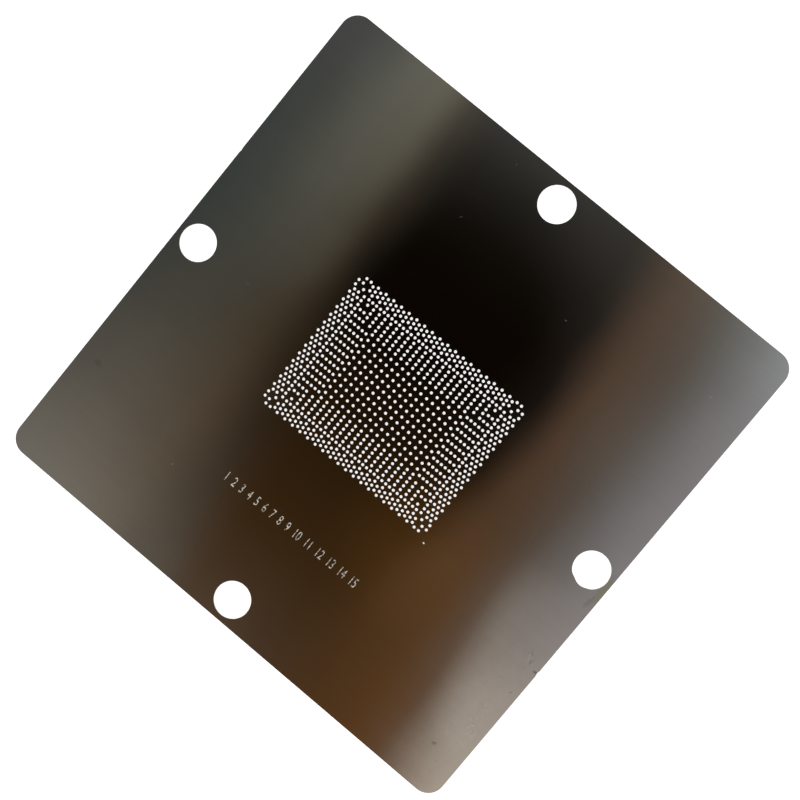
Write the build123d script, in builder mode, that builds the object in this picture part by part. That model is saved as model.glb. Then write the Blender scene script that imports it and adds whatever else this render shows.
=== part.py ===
from build123d import *
import os

# A stencil for placing solder balls on a chip package: one square sheet of stainless steel with
# rounded corners, a locating hole at the middle of each side and a field of fine round apertures.
# Millimetres. The origin is the middle of the underside and +Z is up. The index hole, which marks
# the package's first ball, is beside the field's +X, -Y corner.

# The sheet
sheet_side = 90
sheet_thickness = 0.3
corner_radius = 3

# The holes that drop over the jig's locating posts
locating_hole_diameter = 6.2
locating_hole_web = 0.9  # metal left between a hole and the edge of the sheet

# The package under the stencil, whose balls set where the apertures are
package_length = 35
package_width = 27
package_margin = 0.6  # from the package's edge to its outermost balls
border_pitch = 0.8  # balls near the package's edge
core_pitch = 1.2  # balls under its middle
corner_inset = 1.8  # from where the outermost row and column would meet to their last balls

# The apertures are modelled at every second ball each way, as octagons as wide as the round ones
aperture_diameter = 0.5
aperture_sides = 8
border_step = 2 * border_pitch
core_step = 2 * core_pitch

index_hole_diameter = 0.3
index_hole_offset = 1  # beyond the outermost row and column

locating_circle_radius = sheet_side / 2 - locating_hole_web - locating_hole_diameter / 2
outer_column = package_length / 2 - package_margin
outer_row = package_width / 2 - package_margin


def cut_apertures(x, y, columns=1, rows=1, x_step=border_step, y_step=border_step):
    """Cut a grid of apertures about (x, y) and about its mirror images across both axes."""
    centres = {(side_x * x, side_y * y) for side_x in (-1, 1) for side_y in (-1, 1)}
    with Locations(*sorted(centres)):
        with GridLocations(x_step, y_step, columns, rows):
            RegularPolygon(aperture_diameter / 2, aperture_sides, mode=Mode.SUBTRACT)


with BuildPart() as stencil_sheet:
    with BuildSketch():
        RectangleRounded(sheet_side, sheet_side, corner_radius)
        with PolarLocations(locating_circle_radius, 4):
            Circle(locating_hole_diameter / 2, mode=Mode.SUBTRACT)
        with Locations((outer_column + index_hole_offset, -outer_row - index_hole_offset)):
            Circle(index_hole_diameter / 2, mode=Mode.SUBTRACT)

        # The band of fine pitch: along the long sides, along the short sides, then its corners
        cut_apertures(0, outer_row - border_step / 2, columns=18, rows=2)
        cut_apertures(outer_column - border_step / 2, 0, columns=2, rows=13)
        cut_apertures(outer_column - corner_inset, outer_row)
        cut_apertures(outer_column, outer_row - corner_inset)
        # Between the band and the core: above and below the core, then at its ends
        cut_apertures(0, outer_row - 2.5 * border_step, columns=11, rows=2, x_step=core_step)
        cut_apertures(0, outer_row - 4 * border_step, columns=9, x_step=core_step)
        cut_apertures(outer_column - 3 * border_step, 0, columns=3, rows=5, y_step=core_step)
        cut_apertures(outer_column - 2.5 * border_step, 3 * core_step, columns=2)
        # The core
        cut_apertures(0, 0, columns=9, rows=4, x_step=core_step, y_step=1.5 * core_step)
    extrude(amount=sheet_thickness)

os.makedirs("parts", exist_ok=True)
stencil_sheet.part.label = "stencil_sheet"
export_step(stencil_sheet.part, "parts/stencil_sheet.step")
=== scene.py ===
from math import atan2, cos, degrees, exp, pi, radians, sin

import bmesh
import bpy
from mathutils import Matrix, Vector


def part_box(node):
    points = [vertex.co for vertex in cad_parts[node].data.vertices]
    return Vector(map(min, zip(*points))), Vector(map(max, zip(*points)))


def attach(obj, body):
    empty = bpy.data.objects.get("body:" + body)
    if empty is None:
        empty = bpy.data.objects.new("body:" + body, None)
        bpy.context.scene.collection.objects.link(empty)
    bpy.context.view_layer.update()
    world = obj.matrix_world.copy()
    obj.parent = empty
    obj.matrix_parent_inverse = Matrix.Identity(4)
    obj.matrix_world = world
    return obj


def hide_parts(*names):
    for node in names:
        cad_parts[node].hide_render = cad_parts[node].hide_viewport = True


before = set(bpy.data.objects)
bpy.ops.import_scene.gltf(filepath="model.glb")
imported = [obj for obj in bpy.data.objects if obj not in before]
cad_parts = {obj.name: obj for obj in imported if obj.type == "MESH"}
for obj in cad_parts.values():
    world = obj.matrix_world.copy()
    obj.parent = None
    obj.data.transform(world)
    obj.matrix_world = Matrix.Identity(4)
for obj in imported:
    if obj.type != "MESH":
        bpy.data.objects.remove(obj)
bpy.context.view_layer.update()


# The camera looks almost straight down on the sheet, turned so that one corner points at each side
# of the picture. Its place and turn were fitted to the sheet's outline and holes in the photograph.
mm = 0.001
camera_place = Vector((18.90, 21.30, 256.57)) * mm
camera_right = Vector((0.7673, 0.6327, -0.1046))
camera_back = Vector((0.0716, 0.0775, 0.9944)).normalized()
sensor_width = 36
focal_length = 72.63
nearest_seen = 0.01

scene = bpy.context.scene
scene.view_settings.view_transform = "Standard"

camera_up = camera_back.cross(camera_right).normalized()
camera_right = camera_up.cross(camera_back)
camera_data = bpy.data.cameras.new("camera")
camera_data.sensor_width = sensor_width
camera_data.lens = focal_length
camera_data.clip_start = nearest_seen
camera = bpy.data.objects.new("camera", camera_data)
turn = Matrix((camera_right, camera_up, camera_back)).transposed()
camera.matrix_world = Matrix.Translation(camera_place) @ turn.to_4x4()
scene.collection.objects.link(camera)
scene.camera = camera


# The floor is a plain white table that the sheet lies flat on. The camera, metal and glass see its
# white, and its lit part still takes the sheet's shadow.
floor_side = 4
floor_gap = 0.02 * mm
floor_white = (0.8, 0.8, 0.8, 1)
pure_white = (1, 1, 1, 1)
seen_white = 0.65


class Link:
    """A socket of a material's nodes. Arithmetic on it adds Math nodes."""

    def __init__(self, owner, socket=None):
        self.owner = owner
        self.socket = socket

    def node(self, kind, settings=None, inputs=None, output=0):
        """Add a node, set it up, feed its sockets with values or links, and give one of its outputs."""
        node = self.owner.nodes.new("ShaderNode" + kind)
        for name, value in (settings or {}).items():
            setattr(node, name, value)
        for name, value in (inputs or {}).items():
            if isinstance(value, Link):
                self.owner.links.new(value.socket, node.inputs[name])
            else:
                node.inputs[name].default_value = value
        return Link(self.owner, node.outputs[output])

    def math(self, operation, *others):
        """A Math node on this socket and the values or links that follow."""
        return self.node("Math", {"operation": operation}, dict(enumerate((self, *others))))

    def __add__(self, other):
        return self.math("ADD", other)

    __radd__ = __add__

    def __sub__(self, other):
        return self.math("SUBTRACT", other)

    def __rsub__(self, other):
        return self.node("Math", {"operation": "SUBTRACT"}, {0: other, 1: self})

    def __mul__(self, other):
        return self.math("MULTIPLY", other)

    __rmul__ = __mul__

    def rise(self, start, end):
        """0 before start and 1 past end, with a smooth rise between them."""
        inputs = {"Value": self, "From Min": start, "From Max": end}
        return self.node("MapRange", {"interpolation_type": "SMOOTHSTEP"}, inputs)


def new_material(name):
    """A material, a link to its empty tree, and its output node."""
    material = bpy.data.materials.new(name)
    material.use_nodes = True
    material.node_tree.nodes.clear()
    output = material.node_tree.nodes.new("ShaderNodeOutputMaterial")
    return material, Link(material.node_tree), output


def seen_rays(tree):
    """1 for rays from the camera and for those that metal mirrors or glass lets through, else 0."""
    seen = tree.node("LightPath", None, None, "Is Camera Ray")
    rays = seen.socket.node.outputs
    seen = seen.math("MAXIMUM", Link(tree.owner, rays["Is Glossy Ray"]))
    return seen.math("MAXIMUM", Link(tree.owner, rays["Is Transmission Ray"]))


white_table, tree, output = new_material("white table")
lit = tree.node("BsdfDiffuse", None, {"Color": floor_white})
glow = tree.node("Emission", None, {"Color": pure_white, "Strength": seen_rays(tree) * seen_white})
table = tree.node("AddShader", None, {0: lit, 1: glow})
white_table.node_tree.links.new(table.socket, output.inputs["Surface"])

bm = bmesh.new()
bmesh.ops.create_grid(bm, x_segments=1, y_segments=1, size=floor_side / 2)
bmesh.ops.translate(bm, verts=bm.verts, vec=(0, 0, -floor_gap))
mesh = bpy.data.meshes.new("floor")
bm.to_mesh(mesh)
bm.free()
mesh.materials.append(white_table)
floor = bpy.data.objects.new("floor", mesh)
scene.collection.objects.link(floor)


# The surroundings are a plain white studio, which lights the sheet at a level at which a colour
# renders as it is written. The camera, metal and glass see it as pure white.
studio_level = 0.85

world = bpy.data.worlds.new("studio")
world.use_nodes = True
world.node_tree.nodes.clear()
tree = Link(world.node_tree)
strength = studio_level + (1 - studio_level) * seen_rays(tree)
background = tree.node("Background", None, {"Color": pure_white, "Strength": strength})
output = world.node_tree.nodes.new("ShaderNodeOutputWorld")
world.node_tree.links.new(background.socket, output.inputs["Surface"])
scene.world = world


# Two large soft lamps stand one on each side of the table. They are faint enough not to burn out
# where the steel mirrors them.
def soft_lamp(name, place, side, watts):
    """A square lamp that faces the middle of the sheet."""
    lamp_data = bpy.data.lights.new(name, "AREA")
    lamp_data.shape = "SQUARE"
    lamp_data.size = side
    lamp_data.energy = watts
    lamp = bpy.data.objects.new(name, lamp_data)
    facing = Vector(place).to_track_quat("Z", "Y").to_matrix().to_4x4()
    lamp.matrix_world = Matrix.Translation(place) @ facing
    scene.collection.objects.link(lamp)


soft_lamp("key_lamp", place=(-1.4, -0.5, 1.0), side=1.2, watts=1.6)
soft_lamp("fill_lamp", place=(1.3, 0.9, 0.8), side=1.2, watts=1.1)


# What the steel mirrors: a dark card above the camera with broad soft patches of olive, brown and
# grey light on it, as the room over the photographed sheet had. Lengths on it are given where the
# camera sees their reflection on the sheet. It fades out to the white studio at its rim.
card_height = 0.5
card_reach = 0.62
card_sides = 64
rim_start = 0.75 * card_reach
steel_colour = (0.56, 0.54, 0.51)

sheet_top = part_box("stencil_sheet")[1][2]
card_scale = 1 + (card_height - sheet_top) / (camera_place.z - sheet_top)
to_sheet = (1 / mm / card_scale,) * 3
shift_x = camera_place.x / mm * (card_scale - 1) / card_scale
shift_y = camera_place.y / mm * (card_scale - 1) / card_scale

dark_card, tree, output = new_material("dark card")
place = tree.node("TexCoord", None, None, "Object")
inputs = {0: place, 1: to_sheet, 2: (shift_x, shift_y, 0)}
on_sheet = place.node("VectorMath", {"operation": "MULTIPLY_ADD"}, inputs)
x = on_sheet.node("SeparateXYZ", None, {0: on_sheet}, "X")
y = on_sheet.node("SeparateXYZ", None, {0: on_sheet}, "Y")


def patch(colour, mask):
    """A patch of light: its colour as the steel shows it, where its mask is."""
    light = [shown / own for shown, own in zip(colour, steel_colour)]
    return tree.node("VectorMath", {"operation": "SCALE"}, {0: light, "Scale": mask})


def how_far(middle_x, middle_y):
    """The distance from a place on the sheet."""
    inputs = {0: on_sheet, 1: (middle_x, middle_y, 0)}
    return on_sheet.node("VectorMath", {"operation": "DISTANCE"}, inputs, "Value")


# How far down and how far up the sheet
low = y.rise(14.5, -41)
below = y.rise(2, -47.5)
foot = y.rise(0, -90)
head = y.rise(11.3, 90)
head = head * head
# The olive wall on the left, with its shaded edge and its paler band
olive_side = 1 - x.rise(-38.7 + 6 * foot, -12 + 8 * foot)
olive_band = x.rise(-41.8, -28.8) * (1 - x.rise(-25.6, -19.5)) * y.rise(-9.3, 50)
shaded_edge = 0.4 * (1 - x.rise(-50, -36)) * (1 - y.rise(24, 40))
dim_corner = (1 - x.rise(-52, -19)) * (1 - y.rise(45, 80))
# The brown wall on the right, and the bright window beyond it
brown_side = x.rise(16.9 - 4 * low - 35 * head, 24.5 - 3.7 * low)
window = (x + 0.1 * y).rise(29.6, 34.6 + 15.4 * foot).math("POWER", 0.75)

# The whole dark room, and what stands out in it. The patches were laid out, and their places and colours
# were then fitted to the photograph by least squares and rounded
light = patch((0.0030, 0.0016, 0.0006), 1)
for colour, mask in (
    ((0.001, 0.022, 0.030), olive_side),
    ((0.051, 0.052, 0.040), olive_band),
    ((0.056, 0.048, 0.050), olive_side * foot),
    ((0.038, 0.021, 0.007), (1 - x.rise(-26.4, -13.5)) * (1 - shaded_edge)),
    # The warm lower part of the room
    ((0.037, 0.017, 0.005), low),
    ((0.035, 0.053, 0.050), (1 - x.rise(-15, -5.7)) * foot),
    # The brown wall, above and below
    ((0.065, 0.037, 0.021), brown_side * (1 - low) * (1 - 0.15 * y.rise(15, 45))),
    ((0.059, 0.025, 0.009), x.rise(6.7, 36) * low),
    # The grey wall beside the window, and the window
    ((0.017, 0.038, 0.044), x.rise(22.6 + 11.8 * foot, 38.4) * (1 - foot)),
    ((0.125, 0.120, 0.137), x.rise(30.5, 49.4) * (1 - below)),
    ((0.273, 0.260, 0.228), window * below),
    # Faint light round the darkest place, by the index hole and in the upper left corner
    ((0.011, 0.009, 0.008), how_far(-4.2, 18.8).rise(12.8, 29.8) * y.rise(-5, 25)),
    ((0.023, 0.009, 0.001), how_far(17.8, -16.3).rise(18.2, 0)),
    ((0.000, 0.000, 0.010), how_far(-50, 46).rise(22, 0)),
    # Haze along the upper edge, bluer on the right, and in the lower left
    ((0.136, 0.143, 0.127), head * (1 - dim_corner)),
    ((0.270, 0.410, 0.400), head * x.rise(16, 60) * (1 - y.rise(48, 75))),
    ((0.054, 0.047, 0.039), y.rise(-24, -65) * (1 - x.rise(-2.4, 25))),
):
    light = tree.node("VectorMath", {"operation": "ADD"}, {0: light, 1: patch(colour, mask)})
glow = tree.node("Emission", None, {"Color": light, "Strength": 1.0})
distance = place.node("VectorMath", {"operation": "LENGTH"}, {0: place}, "Value")
rim = distance.rise(rim_start, card_reach)
clear = tree.node("BsdfTransparent")
card_surface = tree.node("MixShader", None, {0: rim, 1: glow, 2: clear})
dark_card.node_tree.links.new(card_surface.socket, output.inputs["Surface"])

bm = bmesh.new()
bmesh.ops.create_circle(bm, cap_ends=True, segments=card_sides, radius=card_reach)
mesh = bpy.data.meshes.new("overhead_card")
bm.to_mesh(mesh)
bm.free()
mesh.materials.append(dark_card)
card = bpy.data.objects.new("overhead_card", mesh)
card.location = (0, 0, card_height)
card.visible_camera = False
card.visible_diffuse = False
card.visible_shadow = False
scene.collection.objects.link(card)


# The sheet is one piece of cold-rolled stainless steel, cut by laser and brushed flat: a square with
# rounded corners, four locating holes, an index hole and 968 round apertures on two pitches.
sheet_side = 90 * mm
sheet_thickness = 0.3 * mm
corner_radius = 3 * mm
corner_steps = 16
locating_circle_radius = 41 * mm
locating_hole_radius = 3.1 * mm
locating_hole_sides = 72
aperture_radius = 0.25 * mm
aperture_sides = 16
index_hole_place = (17.9 * mm, -13.9 * mm)
index_hole_radius = 0.15 * mm
field_half_length = 18.6 * mm
field_half_width = 14.6 * mm
frame_cuts = 19
# The apertures' places and pitches are in millimetres
border_pitch = 0.8
core_pitch = 1.2
corner_places = (
    (13.2, 9.7), (15.3, 11.2), (16.9, 11.1), (16.0, 12.0), (16.9, 12.0), (15.1, 12.9), (16.0, 12.9),
)


def mirrored(x, y):
    """A place and its mirror images across both axes."""
    return {(across * x, along * y) for across in (-1, 1) for along in (-1, 1)}


def grid(x, y, x_pitch, y_pitch, columns, rows):
    """The places of a grid of apertures about (x, y) and about its mirror images."""
    places = set()
    for middle_x, middle_y in mirrored(x, y):
        for column in range(columns):
            for row in range(rows):
                places.add((
                    round(middle_x + (column - (columns - 1) / 2) * x_pitch, 3),
                    round(middle_y + (row - (rows - 1) / 2) * y_pitch, 3),
                ))
    return places


apertures = set()
# Staggered rows along the long borders
apertures |= grid(0, 12.1, 2 * border_pitch, border_pitch, 18, 3)
apertures |= grid(0, 12.1, 2 * border_pitch, border_pitch, 19, 2)
apertures |= grid(0, 10.5, border_pitch, border_pitch, 35, 1)
apertures |= grid(0, 8.9, core_pitch, border_pitch, 21, 3)
apertures |= grid(0, 7.3, core_pitch, border_pitch, 19, 1)
apertures |= grid(0, 6.5, core_pitch, border_pitch, 17, 1)
# The core
apertures |= grid(0, 0, core_pitch, core_pitch, 17, 10)
# Columns along the short borders
apertures |= grid(12.1, 0, border_pitch, core_pitch, 5, 11)
apertures |= grid(12.9, 7.2, border_pitch, border_pitch, 3, 1)
apertures |= grid(13.3, 8.4, border_pitch, border_pitch, 2, 1)
apertures |= grid(14.5, 0, border_pitch, border_pitch, 1, 27)
apertures |= grid(16.1, 0, border_pitch, 2 * border_pitch, 3, 13)
apertures |= grid(16.1, 0, border_pitch, 2 * border_pitch, 2, 14)
# The corners
for corner_x, corner_y in corner_places:
    apertures |= mirrored(corner_x, corner_y)

bm = bmesh.new()
bmesh.ops.create_grid(bm, x_segments=1, y_segments=1, size=sheet_side / 2)
bmesh.ops.bevel(
    bm, geom=bm.verts[:], offset=corner_radius, offset_type="OFFSET", segments=corner_steps,
    profile=0.5, affect="VERTICES", material=-1,
)
bmesh.ops.delete(bm, geom=bm.faces[:], context="FACES_ONLY")

# Two small nicks in the sheet's edge, as wear: how far along the side each is, half its width, and
# its depth, in millimetres
for side, along, half_width, depth in ((1, -18.2, 0.5, 0.12), (-1, 16.0, 0.4, 0.08)):
    edge = max(bm.edges, key=lambda e: side * sum(v.co.x for v in e.verts) + e.calc_length())
    low_end, high_end = sorted(edge.verts, key=lambda v: v.co.y)
    for place_y, inward in ((along + half_width, 0), (along, depth), (along - half_width, 0)):
        length = high_end.co.y - low_end.co.y
        edge, high_end = bmesh.utils.edge_split(edge, low_end, (place_y * mm - low_end.co.y) / length)
        if edge.other_vert(high_end) is not low_end:
            edge = next(e for e in high_end.link_edges if low_end in e.verts)
        high_end.co.x = side * (sheet_side / 2 - inward * mm)


def cut(x, y, radius, sides):
    """Add a round hole's edge and give its points."""
    place = Matrix.Translation((x, y, 0)) @ Matrix.Rotation(pi / sides, 4, "Z")
    return bmesh.ops.create_circle(bm, cap_ends=False, segments=sides, radius=radius, matrix=place)["verts"]


# The four locating holes. The +X one is worn a little flat on its inner lower side and less beside
# that: how deep each flat is in millimetres, and its middle and spread round the hole in degrees
worn_flats = ((0.15, -116, 14), (0.06, -68, 11))
for quarter in range(4):
    hole_x = locating_circle_radius * cos(quarter * pi / 2)
    hole_y = locating_circle_radius * sin(quarter * pi / 2)
    hole_points = cut(hole_x, hole_y, locating_hole_radius, locating_hole_sides)
    if quarter == 0:
        for point in hole_points:
            out = point.co - Vector((hole_x, hole_y, 0))
            angle = degrees(atan2(out.y, out.x))
            worn = sum(
                depth * exp(-(((angle - middle) / spread) ** 2)) for depth, middle, spread in worn_flats
            )
            point.co -= out.normalized() * worn * mm

# A row of plain counting numbers is etched below the field
numbers_place = (0.2 * mm, -26.0 * mm, 0)
numbers_height = 1.65 * mm
numbers_length = 27.3 * mm
etching_depth = 0.01 * mm
stroke_steps = 3
# These two are in the text's own units, before it is brought to size
stroke_thinning = 0.022
same_point = 0.0001

words = bpy.data.curves.new("numbers", "FONT")
words.body = "  ".join(str(number) for number in range(1, 16))
words.fill_mode = "NONE"
words.resolution_u = stroke_steps
words.offset = -stroke_thinning
words_object = bpy.data.objects.new("numbers", words)
numbers_mesh = bpy.data.meshes.new_from_object(words_object)
marked = bmesh.new()
marked.from_mesh(numbers_mesh)
bmesh.ops.remove_doubles(marked, verts=marked.verts, dist=same_point)
low_corner = Vector([min(v.co[axis] for v in marked.verts) for axis in range(3)])
high_corner = Vector([max(v.co[axis] for v in marked.verts) for axis in range(3)])
span = high_corner - low_corner
bmesh.ops.translate(marked, verts=marked.verts, vec=-(low_corner + high_corner) / 2)
bmesh.ops.scale(marked, verts=marked.verts, vec=(numbers_length / span.x, numbers_height / span.y, 1))
bmesh.ops.translate(marked, verts=marked.verts, vec=numbers_place)
marked.to_mesh(numbers_mesh)
marked.free()
sheet_edges = set(bm.edges)
bm.from_mesh(numbers_mesh)
number_edges = [edge for edge in bm.edges if edge not in sheet_edges]
bpy.data.objects.remove(words_object)

# A frame round the field keeps the faces inside it apart from the wide plain margin
frame_size = Matrix.Diagonal((field_half_length, field_half_width, 1, 1))
before = set(bm.edges)
bmesh.ops.create_grid(bm, x_segments=1, y_segments=1, size=1, matrix=frame_size)
bmesh.ops.delete(bm, geom=bm.faces[:], context="FACES_ONLY")
frame_edges = [edge for edge in bm.edges if edge not in before]
bmesh.ops.subdivide_edges(bm, edges=frame_edges, cuts=frame_cuts)
frame_edges = [edge for edge in bm.edges if edge not in before]
bmesh.ops.triangle_fill(bm, use_beauty=True, use_dissolve=False, edges=bm.edges[:])
number_faces = bmesh.ops.triangle_fill(bm, use_beauty=True, use_dissolve=False, edges=number_edges)["geom"]
number_faces = [part for part in number_faces if isinstance(part, bmesh.types.BMFace)]

field_edges = set(frame_edges)
for place_x, place_y in sorted(apertures):
    for point in cut(place_x * mm, place_y * mm, aperture_radius, aperture_sides):
        field_edges.update(point.link_edges)
for point in cut(*index_hole_place, index_hole_radius, aperture_sides):
    field_edges.update(point.link_edges)
bm.edges.index_update()
field_edges = sorted(field_edges, key=lambda edge: edge.index)
bmesh.ops.triangle_fill(bm, use_beauty=True, use_dissolve=False, edges=field_edges)

# The flat shape becomes the upper face, and is pulled down to give the sheet its thickness
bmesh.ops.translate(bm, verts=bm.verts, vec=(0, 0, sheet_thickness))
pulled = bmesh.ops.extrude_face_region(bm, geom=bm.faces[:], use_keep_orig=True)["geom"]
underside = [part for part in pulled if isinstance(part, bmesh.types.BMVert)]
bmesh.ops.translate(bm, verts=underside, vec=(0, 0, -sheet_thickness))

# The numbers sink by the depth of the etching. Materials: 0 rolled face, 1 etched, 2 cut edge
etched = bmesh.ops.extrude_face_region(bm, geom=number_faces)["geom"]
bmesh.ops.delete(bm, geom=number_faces, context="FACES")
etched_points = [part for part in etched if isinstance(part, bmesh.types.BMVert)]
bmesh.ops.translate(bm, verts=etched_points, vec=(0, 0, -etching_depth))
for part in etched:
    if isinstance(part, bmesh.types.BMFace):
        part.material_index = 1
bmesh.ops.recalc_face_normals(bm, faces=bm.faces)
bm.normal_update()
for face in bm.faces:
    upright = abs(face.normal.z) < 0.5
    if upright and face.material_index == 0:
        face.material_index = 2
mesh = bpy.data.meshes.new("stencil")
bm.to_mesh(mesh)
bm.free()


def in_millimetres(tree):
    """The place on the piece, in millimetres."""
    place = tree.node("TexCoord", None, None, "Object")
    return tree.node("VectorMath", {"operation": "SCALE"}, {0: place, "Scale": 1 / mm})


def noise(of, scale, detail=2.0, stretch=(1, 1, 1), output="Fac"):
    """Noise with a number of lumps to the millimetre, drawn out where stretch is below 1."""
    stretched = of.node("Mapping", None, {"Vector": of, "Scale": stretch})
    return of.node("TexNoise", None, {"Vector": stretched, "Scale": scale, "Detail": detail}, output)


def blend(of, mask, first, second):
    """The first colour where the mask is 0, and the second where it is 1."""
    return of.node("Mix", {"data_type": "RGBA"}, {0: mask, 6: first, 7: second}, 2)


# The rolled face: a fine grain along X, faint streaks and smudges, and a slight waviness
rolled_pale = (0.58, 0.56, 0.53, 1)
rolled_dull = (0.53, 0.51, 0.48, 1)
tarnish_yellow = (0.515, 0.50, 0.355, 1)
# The pits' grey also gives the scuffs their painted shade, and the dust's white gives them their painted
# highlight
pit_and_painted_shade_grey = (0.25, 0.24, 0.22, 1)
dirt_black = (0.055, 0.05, 0.045, 1)
dust_and_painted_highlight_white = (0.75, 0.74, 0.72, 1)
wave_height = 0.06 * mm
polish = 0.035

steel, tree, output = new_material("rolled stainless steel")
in_mm = in_millimetres(tree)
x = in_mm.node("SeparateXYZ", None, {0: in_mm}, "X")
y = in_mm.node("SeparateXYZ", None, {0: in_mm}, "Y")
grain = noise(in_mm, 9, 3, (0.017, 1, 1))
streaks = noise(in_mm, 0.9, 3, (0.015, 1, 1)).rise(0.3, 0.7)
smudges = noise(in_mm, 0.09, 3).rise(0.45, 0.75)
waves = noise(in_mm, 0.045, 1)
bump = waves.node("Bump", None, {"Height": waves, "Distance": wave_height, "Strength": 1.0})

# Marks of use on the upper face, each with its middle, half its length and width, and its turn.
# The ragged ones have their outline shifted by up to a quarter of a millimetre
drift = noise(in_mm, 1.6, 2, output="Color")
inputs = {0: drift, 1: (0.5, 0.5, 0), 2: (-0.25, -0.25, 0)}
drift = drift.node("VectorMath", {"operation": "MULTIPLY_ADD"}, inputs)
ragged = drift.node("VectorMath", {"operation": "ADD"}, {0: in_mm, 1: drift})


def mark(of, middle_x, middle_y, half_length, half_width, turn=0):
    """1 in the middle of a mark and 0 outside it."""
    inside = of.node("Mapping", {"vector_type": "TEXTURE"}, {
        "Vector": of,
        "Location": (middle_x, middle_y, sheet_thickness / mm),
        "Rotation": (0, 0, radians(turn)),
        "Scale": (half_length, half_width, 0.1),
    })
    reach = inside.node("VectorMath", {"operation": "LENGTH"}, {0: inside}, "Value")
    return 1 - reach.rise(0.35, 1)


dust = (
    0.45 * mark(in_mm, -8.97, 41.85, 0.14, 0.12)
    + 0.22 * mark(in_mm, 5.85, 41.86, 0.12, 0.12)
    + 0.45 * mark(in_mm, 12.77, 27.75, 0.2, 0.18)
    + 0.5 * mark(in_mm, -21.5, -30.33, 0.17, 0.17)
    + 0.3 * mark(in_mm, -10.51, 30.0, 0.35, 0.12, 60)
    + 0.15 * mark(in_mm, -30.45, 0.11, 0.6, 0.1, 20)
    + 0.6 * mark(in_mm, 37.93, 32.86, 0.35, 0.1, 50)
)
dust = (0.35 * dust).math("MINIMUM", 1)
dirt = (
    0.25 * mark(ragged, 42.35, -16.3, 0.55, 0.2, -50)
    + 0.3 * mark(ragged, 43.0, -17.6, 0.75, 0.17, -60)
    + 0.45 * mark(ragged, 44.6, -18.3, 0.65, 0.3, 10)
    + 0.28 * mark(ragged, 43.65, -23.3, 0.3, 0.25)
    + 0.28 * mark(ragged, 39.5, -37.5, 0.6, 0.35, 20)
    + 0.16 * mark(ragged, -41.4, -25.5, 1.1, 0.7)
    + 0.16 * mark(ragged, 43.9, -4.2, 1.8, 0.5, 80)
)
# Thin curly scuffs, each with painted shade on one side and a painted highlight on the other
curl = noise(in_mm, 1.2, 2) - 0.5
scuffed = (
    mark(in_mm, 42.6, -16.9, 1.9, 1.0, -55)
    + 0.6 * mark(in_mm, 41.6, -27.7, 1.6, 0.8, 20)
    + 0.7 * mark(in_mm, 42.4, -31.6, 2.9, 1.5, -60)
)
# The scuffs' painted shade runs along one side of each curl, and their painted highlight along the other
scuff_painted_shade = 0.2 * scuffed * curl.rise(0, 0.02) * curl.rise(0.12, 0.05)
scuff_painted_highlight = 0.3 * scuffed * curl.rise(0, -0.02) * curl.rise(-0.12, -0.05)
# A yellow tarnish by the worn hole, and faint pits and mottling in the lower right
tarnish = mark(ragged, 44.7, -1.6, 3.8, 1.5, -80)
handled = x.rise(30, 38) * y.rise(-10, -20)
pits = noise(in_mm, 1.1, 2).rise(0.64, 0.75) * handled
mottle = noise(in_mm, 0.5, 3).rise(0.35, 0.7) * handled

colour = blend(in_mm, 0.25 * streaks + 0.2 * grain + 0.4 * smudges, rolled_pale, rolled_dull)
colour = blend(in_mm, 0.9 * tarnish, colour, tarnish_yellow)
# Pits and mottling darken the colour here, and so does the scuffs' painted shade. Their painted highlight
# lightens it on the next line
colour = blend(in_mm, 0.06 * mottle + 0.1 * pits + scuff_painted_shade, colour, pit_and_painted_shade_grey)
colour = blend(in_mm, scuff_painted_highlight, colour, dust_and_painted_highlight_white)
colour = blend(in_mm, dirt.math("MINIMUM", 1), colour, dirt_black)
colour = blend(in_mm, dust, colour, dust_and_painted_highlight_white)
surface = tree.node("BsdfPrincipled", None, {
    "Base Color": colour,
    "Metallic": 1 - dust,
    "Roughness": polish + 0.02 * grain + 0.02 * smudges + 0.2 * dirt,
    "Normal": bump,
})
steel.node_tree.links.new(surface.socket, output.inputs["Surface"])
mesh.materials.append(steel)

# The etched strokes are frosted, and brighter in some places than others
etched_dull = (0.40, 0.37, 0.33, 1)
etched_bright = (0.84, 0.80, 0.73, 1)

frosted, tree, output = new_material("etched steel")
in_mm = in_millimetres(tree)
bite = noise(in_mm, 4.5, 3).rise(0.4, 0.6)
surface = tree.node("BsdfPrincipled", None, {
    "Base Color": blend(in_mm, bite, etched_dull, etched_bright),
    "Metallic": 1 - 0.55 * bite,
    "Roughness": 0.5 + 0.15 * bite,
})
frosted.node_tree.links.new(surface.socket, output.inputs["Surface"])
mesh.materials.append(frosted)

# The laser leaves fine dark ribs down every cut wall
rib_dark = (0.12, 0.11, 0.10, 1)
rib_pale = (0.21, 0.20, 0.18, 1)

cut_edge, tree, output = new_material("laser-cut edge")
in_mm = in_millimetres(tree)
ribs = noise(in_mm, 14, 2, (1, 1, 0.06)).rise(0.35, 0.65)
surface = tree.node("BsdfPrincipled", None, {
    "Base Color": blend(in_mm, ribs, rib_dark, rib_pale),
    "Metallic": 1.0,
    "Roughness": 0.4 + 0.12 * ribs,
})
cut_edge.node_tree.links.new(surface.socket, output.inputs["Surface"])
mesh.materials.append(cut_edge)

stencil = bpy.data.objects.new("stencil", mesh)
scene.collection.objects.link(stencil)
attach(stencil, "root")
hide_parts("stencil_sheet")
